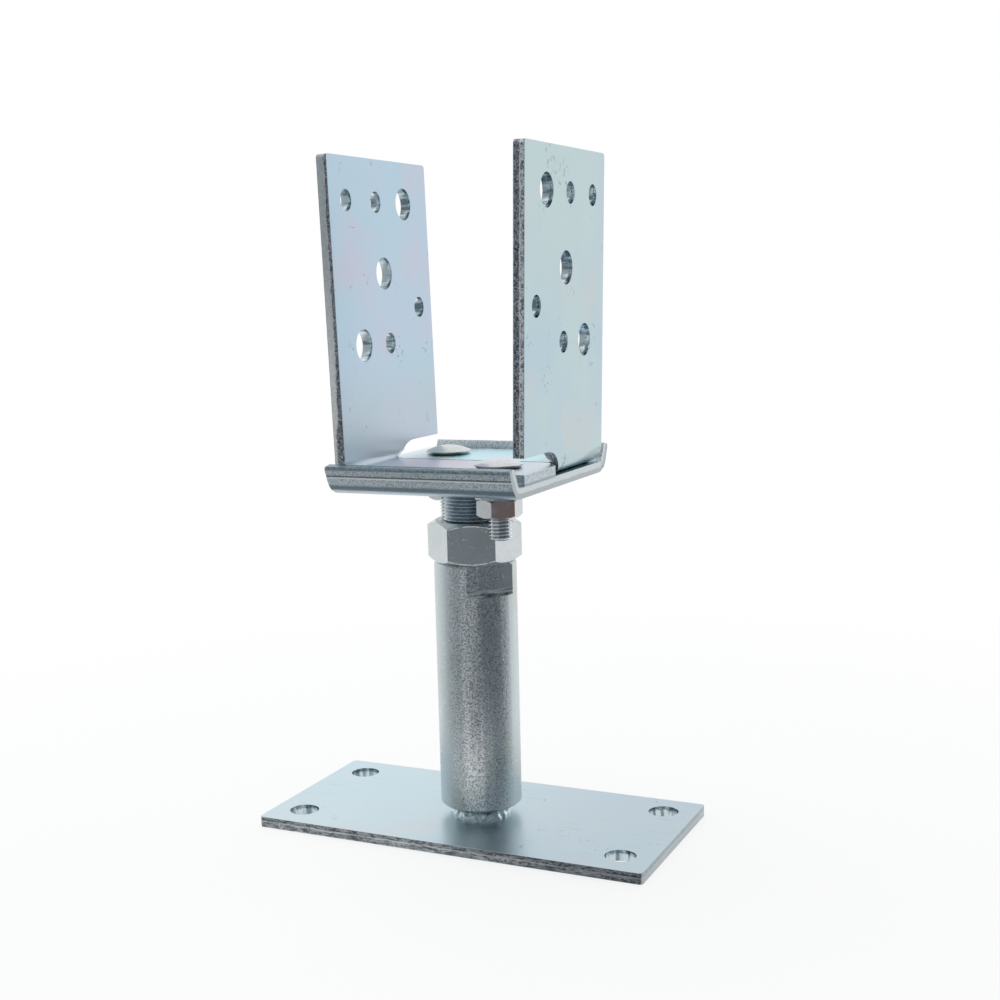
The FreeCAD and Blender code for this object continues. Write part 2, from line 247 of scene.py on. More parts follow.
def make_bead(name, inner, outer, bottom, top):
    """A ring-shaped bead whose section is a quarter of a bulging arc."""
    rows = []
    for arc in range(BEAD_ARC + 1):
        swing = math.pi / 2 * arc / BEAD_ARC
        row = []
        for step in range(BEAD_STEPS):
            turn = 2 * math.pi * step / BEAD_STEPS
            drift = 2.4 * noise.noise(Vector((2 * math.cos(turn), 2 * math.sin(turn), 5.3)))
            puddle = math.sin(BEAD_PUDDLES * turn + drift + 1.2 * math.sin(swing))
            lump = noise.noise(Vector((3 * math.cos(turn), 3 * math.sin(turn), 1.7)))
            fine = noise.noise(Vector((9 * math.cos(turn), 9 * math.sin(turn), 2 * swing)))
            size = BEAD_SIZE + PUDDLE_PART * puddle + LUMP_PART * lump + FINE_PART * fine
            reach = min(size, 1.0) * (outer - inner) * math.cos(swing)
            rise = min(size, 1.0) * (top - bottom) * math.sin(swing)
            radius = inner + reach
            row.append((radius * math.cos(turn), radius * math.sin(turn), bottom + rise))
        rows.append(row)
    return skin_rows(name, rows, cap_first=False, cap_last=False)


weld_bead = make_bead("weld_bead", SPIGOT_RADIUS - 0.1 * MM, weld_high[0], weld_low[2], weld_high[2])
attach(weld_bead, "foot")
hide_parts("base_weld")

# %% [markdown]
# ## The tray's lips
#
# The lips are the tray's long edges, bent up 63 degrees. Their tips are sheared before bending, so
# the tip lies flatter than square and the outside stands a little longer than the inside. A low
# ledge runs along the outer face where the press tool ended. Each lip is a skin over the CAD
# tray's edge: one section of points, drawn along the tray. Its places are given as two numbers, the
# distance along the lip from the bend and the height above the sheet's outer or inner face.

# %% The lip's section
TRAY_BEND_RADIUS = 3.0 * MM
LIP_ANGLE = 63.0
TRAY_FLAT_HALF = 36.5 * MM
LIP_SKIN = 0.05 * MM
LIP_ROUND = 0.25 * MM
LIP_OUTSIDE = (
    (-0.4, 0.17), (0.0, 0.20), (1.5, 0.20), (2.8, 0.20), (3.15, 0.17),
    (3.30, 0.03), (3.50, 0.0), (5.0, -0.06), (5.9, -0.25), (6.25, -0.48), (6.48, -0.90),
)
LIP_INSIDE = (
    (6.2, -1.9), (5.85, -3.0), (5.75, -3.6), (5.60, -3.85), (5.2, -4.0), (2.5, -4.0), (0.0, -4.0),
)


def lip_point(along, raised, degrees=LIP_ANGLE):
    """A point of the section as (y, z), from its place along the lip and its height off the face."""
    angle = math.radians(degrees)
    radius = TRAY_BEND_RADIUS + SHEET + raised * MM
    y = TRAY_FLAT_HALF + radius * math.sin(angle) + along * MM * math.cos(angle)
    z = tray_floor + TRAY_BEND_RADIUS - radius * math.cos(angle) + along * MM * math.sin(angle)
    return y, z


def lip_section():
    """The closed outline of one lip, from under the bend, over the tip and back inside."""
    skin = LIP_SKIN / MM
    points = [lip_point(0.0, skin + 0.15 * share, 34 + 28 * share) for share in (0.0, 0.25, 0.5, 0.75)]
    points += [lip_point(along, raised + skin) for along, raised in LIP_OUTSIDE]
    points += [lip_point(along, raised - (skin if raised < -3.9 else 0.0)) for along, raised in LIP_INSIDE]
    points += [lip_point(0.0, -4.0 - skin, degrees) for degrees in (55, 45, 34)]
    return points


# %% Draw the section along the tray
LIP_STATIONS = 48
LIP_SAG = 0.10 * MM
LIP_END_DRAWN = 0.05 * MM


def make_lip(name, side):
    """One lip. The side is -1 at the front and 1 at the rear."""
    section = lip_section()
    half = tray_high[0] + LIP_SKIN
    ends = [-half, -half + LIP_ROUND]
    middle = [-half + 2 * half * station / LIP_STATIONS for station in range(1, LIP_STATIONS)]
    rows = []
    for x in ends + middle + [half - LIP_ROUND, half]:
        drawn = LIP_END_DRAWN if abs(x) == half else 0.0
        sag = LIP_SAG * noise.noise(Vector((60 * x, 40 * side, 3.1)))
        rows.append([
            (x, side * (y - drawn), z + (sag if z > tray_floor + SHEET else 0.0)) for y, z in section
        ])
    if side > 0:
        rows.reverse()
    lip = skin_rows(name, rows)
    sharpen(lip, 38)
    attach(lip, "stem")
    return lip


lips = [make_lip("front_lip", -1), make_lip("rear_lip", 1)]

# %% [markdown]
# ## The rounded end of each notch
#
# The two brackets nest: each has a notch that clears the other one's leg. The notch is cut in the
# flat sheet with a wide round end and then folded, so its corner is a long curve that starts in the
# bend. The CAD bracket has a tighter corner, and a small web of sheet fills the difference. It is
# drawn as rows across the sheet that follow the bend up into the upright.

# %% The web's rows
# (degrees round the bend or height above it in mm, how far the hidden side and the seen side reach)
BRACKET_BEND_RADIUS = 2.5 * MM
UPRIGHT_LEAN = 1.4
bend_centre_x = upright_outer - SHEET - BRACKET_BEND_RADIUS
bend_centre_z = leg_top + BRACKET_BEND_RADIUS
WEB_IN_BEND = (
    (38, 0.6, 1.45), (45, 1.0, 2.35), (52, 1.5, 3.2), (60, 2.1, 4.2), (68, 2.9, 5.2), (78, 3.8, 6.3),
    (88.6, 4.5, 7.4),
)
WEB_ABOVE = (
    (0.6, 4.5, 8.0), (1.2, 4.5, 8.8), (1.8, 4.5, 9.9), (2.3, 4.5, 11.2), (2.7, 4.5, 12.9),
    (3.0, 4.5, 15.2), (3.4, 4.5, 15.4),
)
WEB_SKIN = 0.015 * MM
WEB_STEPS = 4


def make_web(name, side, body):
    """One web. The side is 1 for the right-hand bracket and -1 for the left."""
    inner = BRACKET_BEND_RADIUS - WEB_SKIN
    outer = BRACKET_BEND_RADIUS + SHEET + WEB_SKIN
    bent = [(degrees, 0.0, hidden, seen) for degrees, hidden, seen in WEB_IN_BEND]
    above = [(90 - UPRIGHT_LEAN, height, hidden, seen) for height, hidden, seen in WEB_ABOVE]
    places = [bent[0]]
    for before, after in zip(bent, bent[1:]):
        for step in range(1, WEB_STEPS + 1):
            share = step / WEB_STEPS
            places.append(tuple(low + share * (high - low) for low, high in zip(before, after)))
    rows = []
    for degrees, height, hidden, seen in places + above:
        angle = math.radians(degrees)
        row = []
        for radius, reach in ((inner, hidden), (outer, hidden), (outer, seen), (inner, seen)):
            x = bend_centre_x + radius * math.sin(angle) + height * MM * math.cos(angle)
            z = bend_centre_z - radius * math.cos(angle) + height * MM * math.sin(angle)
            row.append((side * x, -side * reach * MM, z))
        rows.append(row)
    web = skin_rows(name, rows)
    sharpen(web, 30)
    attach(web, body)
    return web


right_web = make_web("right_notch_web", 1, "right_bracket")
left_web = make_web("left_notch_web", -1, "left_bracket")

# %% [markdown]
# ## Softened edges
#
# No real edge is perfectly sharp. Tumbling and plating leave every one with a tiny radius, and that
# radius catches the light as a thin bright line. The CAD meshes are kept as they are, so the edges
# are rounded by modifiers: a weld joins the split points of neighbouring faces, and a bevel then
# rounds each edge that turns by more than 30 degrees.

# %% A helper, and the nodes that get it
JOIN_WITHIN = 0.002 * MM
ROUND_ABOVE = 30.0


def soften(node, width):
    """Rounds the crisp edges of one CAD node with modifiers."""
    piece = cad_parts[node]
    weld = piece.modifiers.new("join points", "WELD")
    weld.merge_threshold = JOIN_WITHIN
    bevel = piece.modifiers.new("round edges", "BEVEL")
    bevel.width = width
    bevel.segments = 2
    bevel.limit_method = "ANGLE"
    bevel.angle_limit = math.radians(ROUND_ABOVE)
    bevel.harden_normals = True
    bevel.miter_outer = "MITER_ARC"
    bevel.use_clamp_overlap = True


EDGE_ROUND = {
    0.15 * MM: ("sleeve", "washer_front", "washer_rear"),
    0.18 * MM: ("bolt_nut_front", "bolt_nut_rear"),
    0.28 * MM: ("bracket_left", "bracket_right"),
    0.35 * MM: ("base_plate", "tray"),
    0.45 * MM: ("lock_nut",),
}
for width, node_names in EDGE_ROUND.items():
    for node_name in node_names:
        soften(node_name, width)
    print("softened", *node_names)

# %% [markdown]
# ## Building blocks for materials
#
# Every finish below is drawn by nodes. Linking each by hand would fill pages, so a small class
# stands for the output of a node: the sum a * 2.0 + b then places the two math nodes that it names.
# The other helpers each place one node, set or link its inputs, and give back its output.

# %% A wire, and sums of wires
class Wire:
    """One output of a node. A sum written with wires places math nodes in the wire's own tree."""

    def __init__(self, tree, socket):
        self.tree = tree
        self.socket = socket

    def __add__(self, other):
        return calc("ADD", self, other)

    def __sub__(self, other):
        return calc("SUBTRACT", self, other)

    def __rsub__(self, other):
        return calc("SUBTRACT", other, self)

    def __mul__(self, other):
        return calc("MULTIPLY", self, other)

    def __truediv__(self, other):
        return calc("DIVIDE", self, other)

    def __pow__(self, other):
        return calc("POWER", self, other)

    def __abs__(self):
        return calc("ABSOLUTE", self)

    __radd__ = __add__
    __rmul__ = __mul__


def feed(socket, value):
    """Links a wire to a socket, or sets the socket's own value."""
    if isinstance(value, Wire):
        value.tree.links.new(value.socket, socket)
    else:
        socket.default_value = value


def add_node(kind, values, output=0, tree=None, **settings):
    """Places a node in the tree of its first wire, feeds its inputs and gives back one output."""
    tree = tree or next(value.tree for value in values.values() if isinstance(value, Wire))
    block = tree.nodes.new(kind)
    for name, setting in settings.items():
        setattr(block, name, setting)
    for title, value in values.items():
        feed(block.inputs[title], value)
    return Wire(tree, block.outputs[output])


def all_outputs(wire):
    """Every output of the node that a wire comes from, by name."""
    return {socket.name: Wire(wire.tree, socket) for socket in wire.socket.node.outputs}


def calc(operation, *values):
    """The result of one math node."""
    return add_node("ShaderNodeMath", dict(enumerate(values)), operation=operation)


# %% Helpers for single nodes
def fade(value, start, end):
    """0 at start, 1 at end, and a smooth step between them. The start may be the higher one."""
    values = {"Value": value, "From Min": start, "From Max": end}
    return add_node("ShaderNodeMapRange", values, interpolation_type="SMOOTHSTEP")


def cloud(vector, scale, detail=3.0, roughness=0.55, distortion=0.0):
    """A noise between 0 and 1. The scale is in waves per metre."""
    return add_node("ShaderNodeTexNoise", {
        "Vector": vector, "Scale": scale, "Detail": detail, "Roughness": roughness, "Distortion": distortion,
    })


def stretch(vector, size, turn=(0, 0, 0)):
    """The vector turned by angles in degrees and scaled along each axis."""
    angles = [math.radians(angle) for angle in turn]
    return add_node("ShaderNodeMapping", {"Vector": vector, "Rotation": angles, "Scale": size})


def tint(amount, first, second, way="MIX"):
    """Two colours mixed."""
    values = {0: amount, 6: first, 7: second}
    return add_node("ShaderNodeMix", values, 2, data_type="RGBA", blend_type=way, clamp_factor=True)


def split(vector):
    """The three parts of a vector."""
    return all_outputs(add_node("ShaderNodeSeparateXYZ", {0: vector})).values()


def length_of(x, y):
    """How far a point lies from the upright axis."""
    return (x * x + y * y) ** 0.5


def along_direction(x, y, degrees):
    """How far a point lies in a level direction, in degrees from +X."""
    angle = math.radians(degrees)
    return x * math.cos(angle) + y * math.sin(angle)


def rgb(red, green, blue):
    """A colour with full alpha."""
    return (red, green, blue, 1.0)


# %% Helpers for node groups
def start_group(name, inputs, outputs):
    """An empty node group with named sockets. Gives it, the sockets out and the wires that come in."""
    kinds = {"value": "NodeSocketFloat", "colour": "NodeSocketColor", "vector": "NodeSocketVector"}
    group = bpy.data.node_groups.new(name, "ShaderNodeTree")
    for side, sockets in (("INPUT", inputs), ("OUTPUT", outputs)):
        for title, kind in sockets.items():
            group.interface.new_socket(name=title, in_out=side, socket_type=kinds[kind])
    given = group.nodes.new("NodeGroupInput").outputs
    wires = [Wire(group, given[title]) for title in inputs]
    return group, group.nodes.new("NodeGroupOutput").inputs, wires


def end_group(group, result, **wires):
    """Links the wires that go out of a group."""
    for title, wire in wires.items():
        feed(result[title], wire)
    print("group", group.name, "has", len(group.nodes), "nodes")


def use_group(group, **values):
    """Places a group and gives back its outputs. Underscores in the names stand for spaces."""
    values = {title.replace("_", " "): value for title, value in values.items()}
    return all_outputs(add_node("ShaderNodeGroup", values, node_tree=group))


# %% [markdown]
# ## Zinc bloom
#
# Bright zinc is passivated in a bath that leaves a film thinner than light's own wavelength. Where
# the film is a little thicker the metal looks blue, where it is thinner it looks straw or pink.
# The patches are soft and a few centimetres wide, so two slow noises choose between three tints.

# %% The bloom group
bloom_group, result, (vector, patches, base, cool, warm) = start_group(
    "zinc bloom",
    {"Vector": "vector", "Patches": "value", "Base": "colour", "Cool": "colour", "Warm": "colour"},
    {"Color": "colour", "Cloud": "value"},
)
slow = cloud(vector, patches, 2.0, 0.5, 0.6)
shifted = stretch(vector, (1.0, 1.0, 1.0), (20, 35, 50))
other = cloud(shifted, patches * 1.7, 3.0, 0.55, 0.4)
cooled = tint(fade(slow, 0.4, 0.64), base, cool)
warmed = tint(fade(other, 0.5, 0.72), cooled, warm)
end_group(bloom_group, result, Color=warmed, Cloud=slow)

# %% [markdown]
# ## Handling marks
#
# Parts that are plated in a drum knock against each other. They get short hairlines in every
# direction and small dark nicks. Hairlines are noise that is stretched until only streaks are left,
# cut off high so that few remain. Nicks are the centres of a few cells of a Voronoi pattern. Scuffs
# are thin winding lines, where a noise crosses its middle value, and they gather in a few patches.

# %% The marks group
marks_group, result, (vector, amount) = start_group(
    "handling marks",
    {"Vector": "vector", "Amount": "value"},
    {"Hairlines": "value", "Nicks": "value", "Scuffs": "value"},
)
STREAKS = (
    ((40, 1500, 1500), (0, 20, 30)),
    ((60, 1900, 1900), (15, -50, -40)),
    ((50, 1300, 1300), (80, 5, 70)),
)
joined = 0.0
for size, turn in STREAKS:
    streak = cloud(stretch(vector, size, turn), 1.0, 1.0, 0.5)
    joined = calc("MAXIMUM", joined, fade(streak, 0.74, 0.8))
cells = all_outputs(add_node("ShaderNodeTexVoronoi", {"Vector": vector, "Scale": 170}))
near = cells["Distance"] + cloud(vector, 1500, 2.0) * 0.1
chosen, *others = split(cells["Color"])
nick = fade(near, 0.15, 0.09) * fade(chosen, 0.9, 0.92)
winding = cloud(vector, 170, 3.0, 0.6, 1.2)
line = fade(abs(winding - 0.5), 0.03, 0.01)
tangle = fade(cloud(stretch(vector, (1, 1, 1), (70, 10, 25)), 60, 2.0), 0.6, 0.66)
broken = fade(cloud(vector, 520, 1.0), 0.52, 0.6)
end_group(
    marks_group, result,
    Hairlines=joined * amount, Nicks=nick * amount, Scuffs=line * tangle * broken * amount,
)

# %% [markdown]
# ## Depth in a bent sheet
#
# The broad faces of a sheet are smooth, but the faces where it was cut are not, and the two need
# different looks. Both brackets and the tray have one section: a flat, a bend and a second flat.
# For any point of such a section, its place between the inner and the outer face can be worked out
# from where it lies round the bend's centre. That depth is 0 on the inner face, 1 on the outer face,
# and between the two only on a cut face or in a hole.

# %% The sheet depth group
depth_group, result, (across, down, bend, inner_radius, thickness) = start_group(
    "sheet depth",
    {"Across": "value", "Down": "value", "Bend": "value", "Inner Radius": "value", "Thickness": "value"},
    {"Depth": "value", "Along": "value", "Turned": "value"},
)
angle = calc("ARCTAN2", across, down)
held = calc("MINIMUM", calc("MAXIMUM", angle, 0.0), bend)
out_x = across * calc("SINE", held)
out_z = down * calc("COSINE", held)
reach = out_x + out_z - inner_radius
up_x = across * calc("COSINE", bend)
up_z = down * calc("SINE", bend)
end_group(
    depth_group, result,
    Depth=reach / thickness, Along=up_x - up_z, Turned=held / bend,
)

# %% [markdown]
# ## Punched and sheared edges
#
# A shear cuts partway through the sheet and tears the rest. The cut part is burnished bright, the
# torn part is dull, dark and pitted, and both have crystals of zinc on them, painted as bright
# glints. The group takes the depth and gives a colour, a roughness and a height for the cut face.

# %% The cut face group
cut_group, result, (vector, depth, inner, outer, change, coarse, round_outer) = start_group(
    "cut face",
    {
        "Vector": "vector", "Depth": "value", "Inner": "colour", "Outer": "colour",
        "Change": "value", "Coarse": "value", "Round Outer": "value",
    },
    {"Color": "colour", "Roughness": "value", "Height": "value", "Mask": "value"},
)
GLINT = rgb(0.98, 0.99, 1.0)
PIT = rgb(0.04, 0.05, 0.06)
wander = cloud(vector, 300, 3.0)
line = depth + (wander - 0.5) * 0.3
outward = fade(line - change, -0.06, 0.06)
both = tint(outward, inner, outer)
mottle = cloud(vector, 1100, 4.0, 0.75)
grit = cloud(vector, 2600, 2.0, 0.7)
shade = tint(fade(mottle, 0.46, 0.55) * coarse, both, tint(0.8, both, PIT))
shade = tint(fade(grit, 0.56, 0.64) * coarse, shade, tint(0.8, both, GLINT))
# Painted highlights: thin bright lines along both rims of the cut face and along the border between its cut
# and torn parts.
rim_highlight = fade(abs(depth - 0.5), 0.44, 0.475)
border = fade(abs(line - change), 0.09, 0.02)
bright = calc("MAXIMUM", rim_highlight * coarse, border * coarse)
shoulder = calc("MAXIMUM", (depth - 0.3) / 0.7, 0.0)
rubble = (mottle * 2.0 + grit * 1.2) * (1.0 + outward * 1.2)
end_group(
    cut_group, result,
    Color=tint(bright * 0.7, shade, GLINT),
    Roughness=outward * 0.26 + 0.32,
    Height=rubble * coarse - shoulder ** 2.0 * round_outer,
    Mask=fade(depth, 0.01, 0.04) * fade(depth, 0.99, 0.96),
)

# %% [markdown]
# ## The plated metal itself
#
# Zinc is a metal, so the Principled shader is fully metallic and its colour is the colour of its
# reflections. What makes zinc unlike chrome is its grain: the bath roughens it evenly and the steel
# under it is never flat. Each finish is a colour, a roughness and a height fed to one shader.

# %% Helpers that start and end a material
RELIEF = 0.05 * MM


def start_material(name):
    """An empty node material, with the place on the object as its coordinate."""
    material = bpy.data.materials.new(name)
    material.use_nodes = True
    material.node_tree.nodes.clear()
    return material, add_node("ShaderNodeTexCoord", {}, "Object", material.node_tree)


def end_nodes(kind, shader):
    """Links a finished shader to the output of its tree."""
    feed(shader.tree.nodes.new(kind).inputs["Surface"], shader)


def finish_metal(colour, roughness, height, metal=1.0):
    """Closes a metal: its colour, its roughness, and a height in units of the relief."""
    normal = add_node("ShaderNodeBump", {"Strength": 1.0, "Distance": RELIEF, "Height": height})
    end_nodes("ShaderNodeOutputMaterial", add_node("ShaderNodeBsdfPrincipled", {
        "Metallic": metal, "Base Color": colour, "Roughness": roughness, "Normal": normal,
    }))


ZINC = rgb(0.60, 0.67, 0.71)
ZINC_SKY = rgb(0.50, 0.66, 0.76)
ZINC_LILAC = rgb(0.60, 0.62, 0.72)
ZINC_GREEN = rgb(0.56, 0.68, 0.68)
ZINC_STRAW = rgb(0.62, 0.66, 0.62)
# The dark of nicks and scratches. It is also painted shade in the legs' gap, above the tray's ledge and in
# thread roots.
DARK_ZINC_AND_SHADE = rgb(0.12, 0.14, 0.16)
CUT_LIGHT = rgb(0.66, 0.70, 0.71)

# %% [markdown]
# ## Sheet zinc: brackets, tray and plate
#
# The rolled faces are smooth with a faint waviness and the bloom lies on them like a cloud. Their
# cut faces come from the cut face group, chosen by the depth in the sheet.

# %% Helpers for rolled and cut faces
def rolled_face(place, base, cool, warm, patches, marks):
    """Colour, roughness and height of a rolled and plated face."""
    bloom = use_group(bloom_group, Vector=place, Patches=patches, Base=base, Cool=cool, Warm=warm)
    wear = use_group(marks_group, Vector=place, Amount=marks)
    grain = cloud(place, 2600, 2.0, 0.6)
    wave = cloud(place, 110, 3.0, 0.5)
    colour = bloom["Color"]
    for mark, share in (("Nicks", 0.75), ("Hairlines", 0.3), ("Scuffs", 0.55)):
        colour = tint(wear[mark] * share, colour, DARK_ZINC_AND_SHADE)
    height = grain * 0.12 + wave - wear["Nicks"] * 0.5
    return colour, 0.26 + bloom["Cloud"] * 0.1, height


def sheet_place(across, down, degrees, inner_radius):
    """Where a point lies in a bent sheet, from its place beside and below the bend's centre."""
    return use_group(
        depth_group, Across=across, Down=down, Bend=math.radians(degrees), Inner_Radius=inner_radius,
        Thickness=SHEET,
    )


def cut_face(**values):
    """A mask of the cut faces, and their colour, roughness and height."""
    cut = use_group(cut_group, **values)
    return cut["Mask"], (cut["Color"], cut["Roughness"], cut["Height"])


def lay_over(mask, face, over):
    """Mixes two sets of colour, roughness and height by a mask."""
    values = [below + mask * (above - below) for below, above in zip(face[1:], over[1:])]
    return [tint(mask, face[0], over[0])] + values


# %% [markdown]
# A cut edge and a punched hole are the same sheet, cut in different ways. The outline is sheared
# and left rough. The holes are punched and come out smoother, with fine lines down their walls.
# A bracket's holes all lie well inside its outline, so a mask of two fades tells them apart.

# %% The two brackets
HALF_WIDTH = 36.0 * MM
LEG_GAP = 0.5 * MM
LEG_END = rgb(0.55, 0.62, 0.65)
TORN_AT_FOOT = (155 * MM, 146 * MM)
EDGE_CHANGES = (165 * MM, 215 * MM)


def hole_wall(place, along=(1, 6, 6)):
    """Colour, roughness and height of a punched hole's wall, with lines along the punch's stroke."""
    lines = cloud(stretch(place, along), 70, 4.0, 0.6)
    colour = tint(fade(lines, 0.42, 0.6), rgb(0.74, 0.82, 0.85), rgb(0.24, 0.32, 0.36))
    return (colour, 0.15, lines * 0.8)


def bracket_finish(
    name, side, base, cool, warm, leg, edge_inner, edge_outer, edge_top, change, shoulder, outer_grit,
):
    """The finish of one bracket. The side is 1 for the right-hand one and -1 for the left."""
    material, place = start_material(name)
    x, y, z = split(place)
    from_bend = x * side
    sheet = sheet_place(
        from_bend - bend_centre_x, bend_centre_z - z, 90 - UPRIGHT_LEAN, BRACKET_BEND_RADIUS,
    )
    above_bend = fade(z, leg_top + 6 * MM, leg_top + 12 * MM)
    colour, rough, height = rolled_face(place, base, cool, warm, 20, above_bend)
    on_leg = fade(z, leg_top + 4 * MM, leg_top)
    inner_leg = fade(from_bend, 27 * MM, 20 * MM) * fade(from_bend, -16 * MM, -8 * MM)
    leg_colour = tint(inner_leg, base, leg)
    leg_tip = fade(from_bend, -17 * MM, -24 * MM)
    leg_colour = tint(leg_tip, leg_colour, rgb(0.84, 0.94, 1.0))
    colour = tint(on_leg * 0.85, colour, leg_colour)
    # Painted shade: a dotted dark line on the legs along the gap between the two brackets.
    gap_shade = fade(abs(y), LEG_GAP + 0.45 * MM, LEG_GAP)
    dots = fade(cloud(place, 900, 2.0), 0.38, 0.52)
    colour = tint(gap_shade * on_leg * dots * 0.8, colour, DARK_ZINC_AND_SHADE)
    if side < 0:
        foot = fade(z, leg_top + 42 * MM, leg_top + 12 * MM)
        colour = tint(foot * 0.55, colour, rgb(0.56, 0.59, 0.63))
    face = (colour, rough, height)
    slow = cloud(stretch(place, (0, 0, 1)), 22, 1.0)
    smooth = 1.0 - outer_grit
    at_foot = fade(z, *TORN_AT_FOOT)
    torn_to = change + (slow - 0.5) * (0.9 * smooth) + at_foot * (0.42 * smooth)
    past = fade(sheet["Depth"] - torn_to, -0.06, 0.06)
    grit = (1.0 + past * (outer_grit - 1.0)) * (1.0 - on_leg * 0.6)
    up_edge = tint(fade(z, *EDGE_CHANGES), edge_outer, edge_top)
    mask, edge = cut_face(
        Vector=place, Depth=sheet["Depth"], Inner=tint(on_leg, edge_inner, LEG_END),
        Outer=tint(on_leg, up_edge, LEG_END), Change=torn_to, Coarse=grit, Round_Outer=shoulder,
    )
    above = fade(z, leg_top + 8 * MM, leg_top + 9 * MM)
    below_top = fade(z, bracket_high[2] - 1.5 * MM, bracket_high[2] - 2 * MM)
    beside = fade(abs(y), HALF_WIDTH - 1 * MM, HALF_WIDTH - 1.5 * MM)
    in_hole = above * below_top * beside
    finish_metal(*lay_over(mask, face, lay_over(in_hole, edge, hole_wall(place))))
    return material


right_finish = bracket_finish(
    "bracket_right_zinc", 1, base=ZINC_GREEN, cool=rgb(0.53, 0.66, 0.72), warm=rgb(0.60, 0.66, 0.67),
    leg=rgb(0.62, 0.92, 1.0), edge_inner=rgb(0.29, 0.32, 0.37), edge_outer=rgb(1.0, 1.0, 1.0),
    edge_top=rgb(0.90, 0.93, 0.95), change=0.60, shoulder=0.0, outer_grit=1.0,
)
left_finish = bracket_finish(
    "bracket_left_zinc", -1, base=rgb(0.54, 0.65, 0.76), cool=rgb(0.52, 0.67, 0.76), warm=ZINC_LILAC,
    leg=rgb(0.80, 0.64, 0.84), edge_inner=rgb(0.30, 0.32, 0.35), edge_outer=rgb(1.0, 1.0, 0.98),
    edge_top=rgb(0.66, 0.71, 0.72), change=0.36, shoulder=10.0, outer_grit=0.15,
)

# %% The tray
LEDGE_ALONG = 3.22 * MM
TIP_ALONG = 5.45 * MM
BEND_SHADE_LOW = (-3.3 * MM, -2.2 * MM)
BEND_SHADE_HIGH = (0.4 * MM, -1.0 * MM)


def tray_finish(name):
    """The tray's finish: coarse on the lips, where the bend stretched the sheet."""
    material, place = start_material(name)
    x, y, z = split(place)
    down = tray_floor + TRAY_BEND_RADIUS - z
    sheet = sheet_place(abs(y) - TRAY_FLAT_HALF, down, LIP_ANGLE, TRAY_BEND_RADIUS)
    colour, rough, height = rolled_face(place, ZINC, ZINC_SKY, ZINC_STRAW, 30, 1.0)
    stretched = fade(sheet["Turned"], 0.2, 0.9)
    peel = cloud(place, 1900, 3.0, 0.8)
    grit = cloud(place, 3100, 2.0, 0.8)
    to_left = fade(x, -4 * MM, -36 * MM)
    lip_colour = tint(to_left, rgb(0.62, 0.69, 0.73), rgb(0.74, 0.81, 0.86))
    colour = tint(stretched * 0.85, colour, lip_colour)
    # Dark and bright specks of the stretched grain; the bright specks are painted glints.
    colour = tint(stretched * fade(peel, 0.47, 0.57) * 0.8, colour, rgb(0.17, 0.22, 0.25))
    colour = tint(stretched * fade(grit, 0.53, 0.6) * 0.9, colour, rgb(0.96, 0.98, 1.0))
    height = height + stretched * (peel * 4.0)
    rust = stretched * fade(cloud(place, 55, 2.0), 0.58, 0.7)
    colour = tint(rust * 0.35, colour, rgb(0.5, 0.4, 0.32))
    in_bend = fade(sheet["Along"], *BEND_SHADE_LOW) * fade(sheet["Along"], *BEND_SHADE_HIGH)
    outside = fade(sheet["Depth"], 0.9, 0.95)
    colour = tint(in_bend * outside * 0.85, colour, rgb(0.1, 0.14, 0.17))
    below = LEDGE_ALONG - sheet["Along"]
    # Painted shade and highlight at the ledge: a dark line in the corner just above it and a bright line on
    # its edge just below.
    ledge_shade = fade(abs(below + 0.15 * MM), 0.32 * MM, 0.1 * MM)
    ledge_highlight = fade(abs(below - 0.45 * MM), 0.42 * MM, 0.12 * MM)
    colour = tint(ledge_shade * outside * 0.85, colour, DARK_ZINC_AND_SHADE)
    colour = tint(ledge_highlight * outside * 0.9, colour, rgb(0.98, 1.0, 1.0))
    face = (colour, rough, height)
    within_ends = fade(abs(x), tray_high[0], tray_high[0] - 0.3 * MM)
    tip = fade(sheet["Along"], TIP_ALONG, TIP_ALONG + 0.2 * MM) * within_ends
    cut_colour = tint(tip, CUT_LIGHT, rgb(0.32, 0.41, 0.45))
    mask, edge = cut_face(
        Vector=place, Depth=sheet["Depth"], Inner=cut_colour, Outer=cut_colour, Change=0.5,
        Coarse=0.12 + tip * 0.4, Round_Outer=0.0,
    )
    finish_metal(*lay_over(mask, face, edge))
    return material


tray_material = tray_finish("tray_zinc")

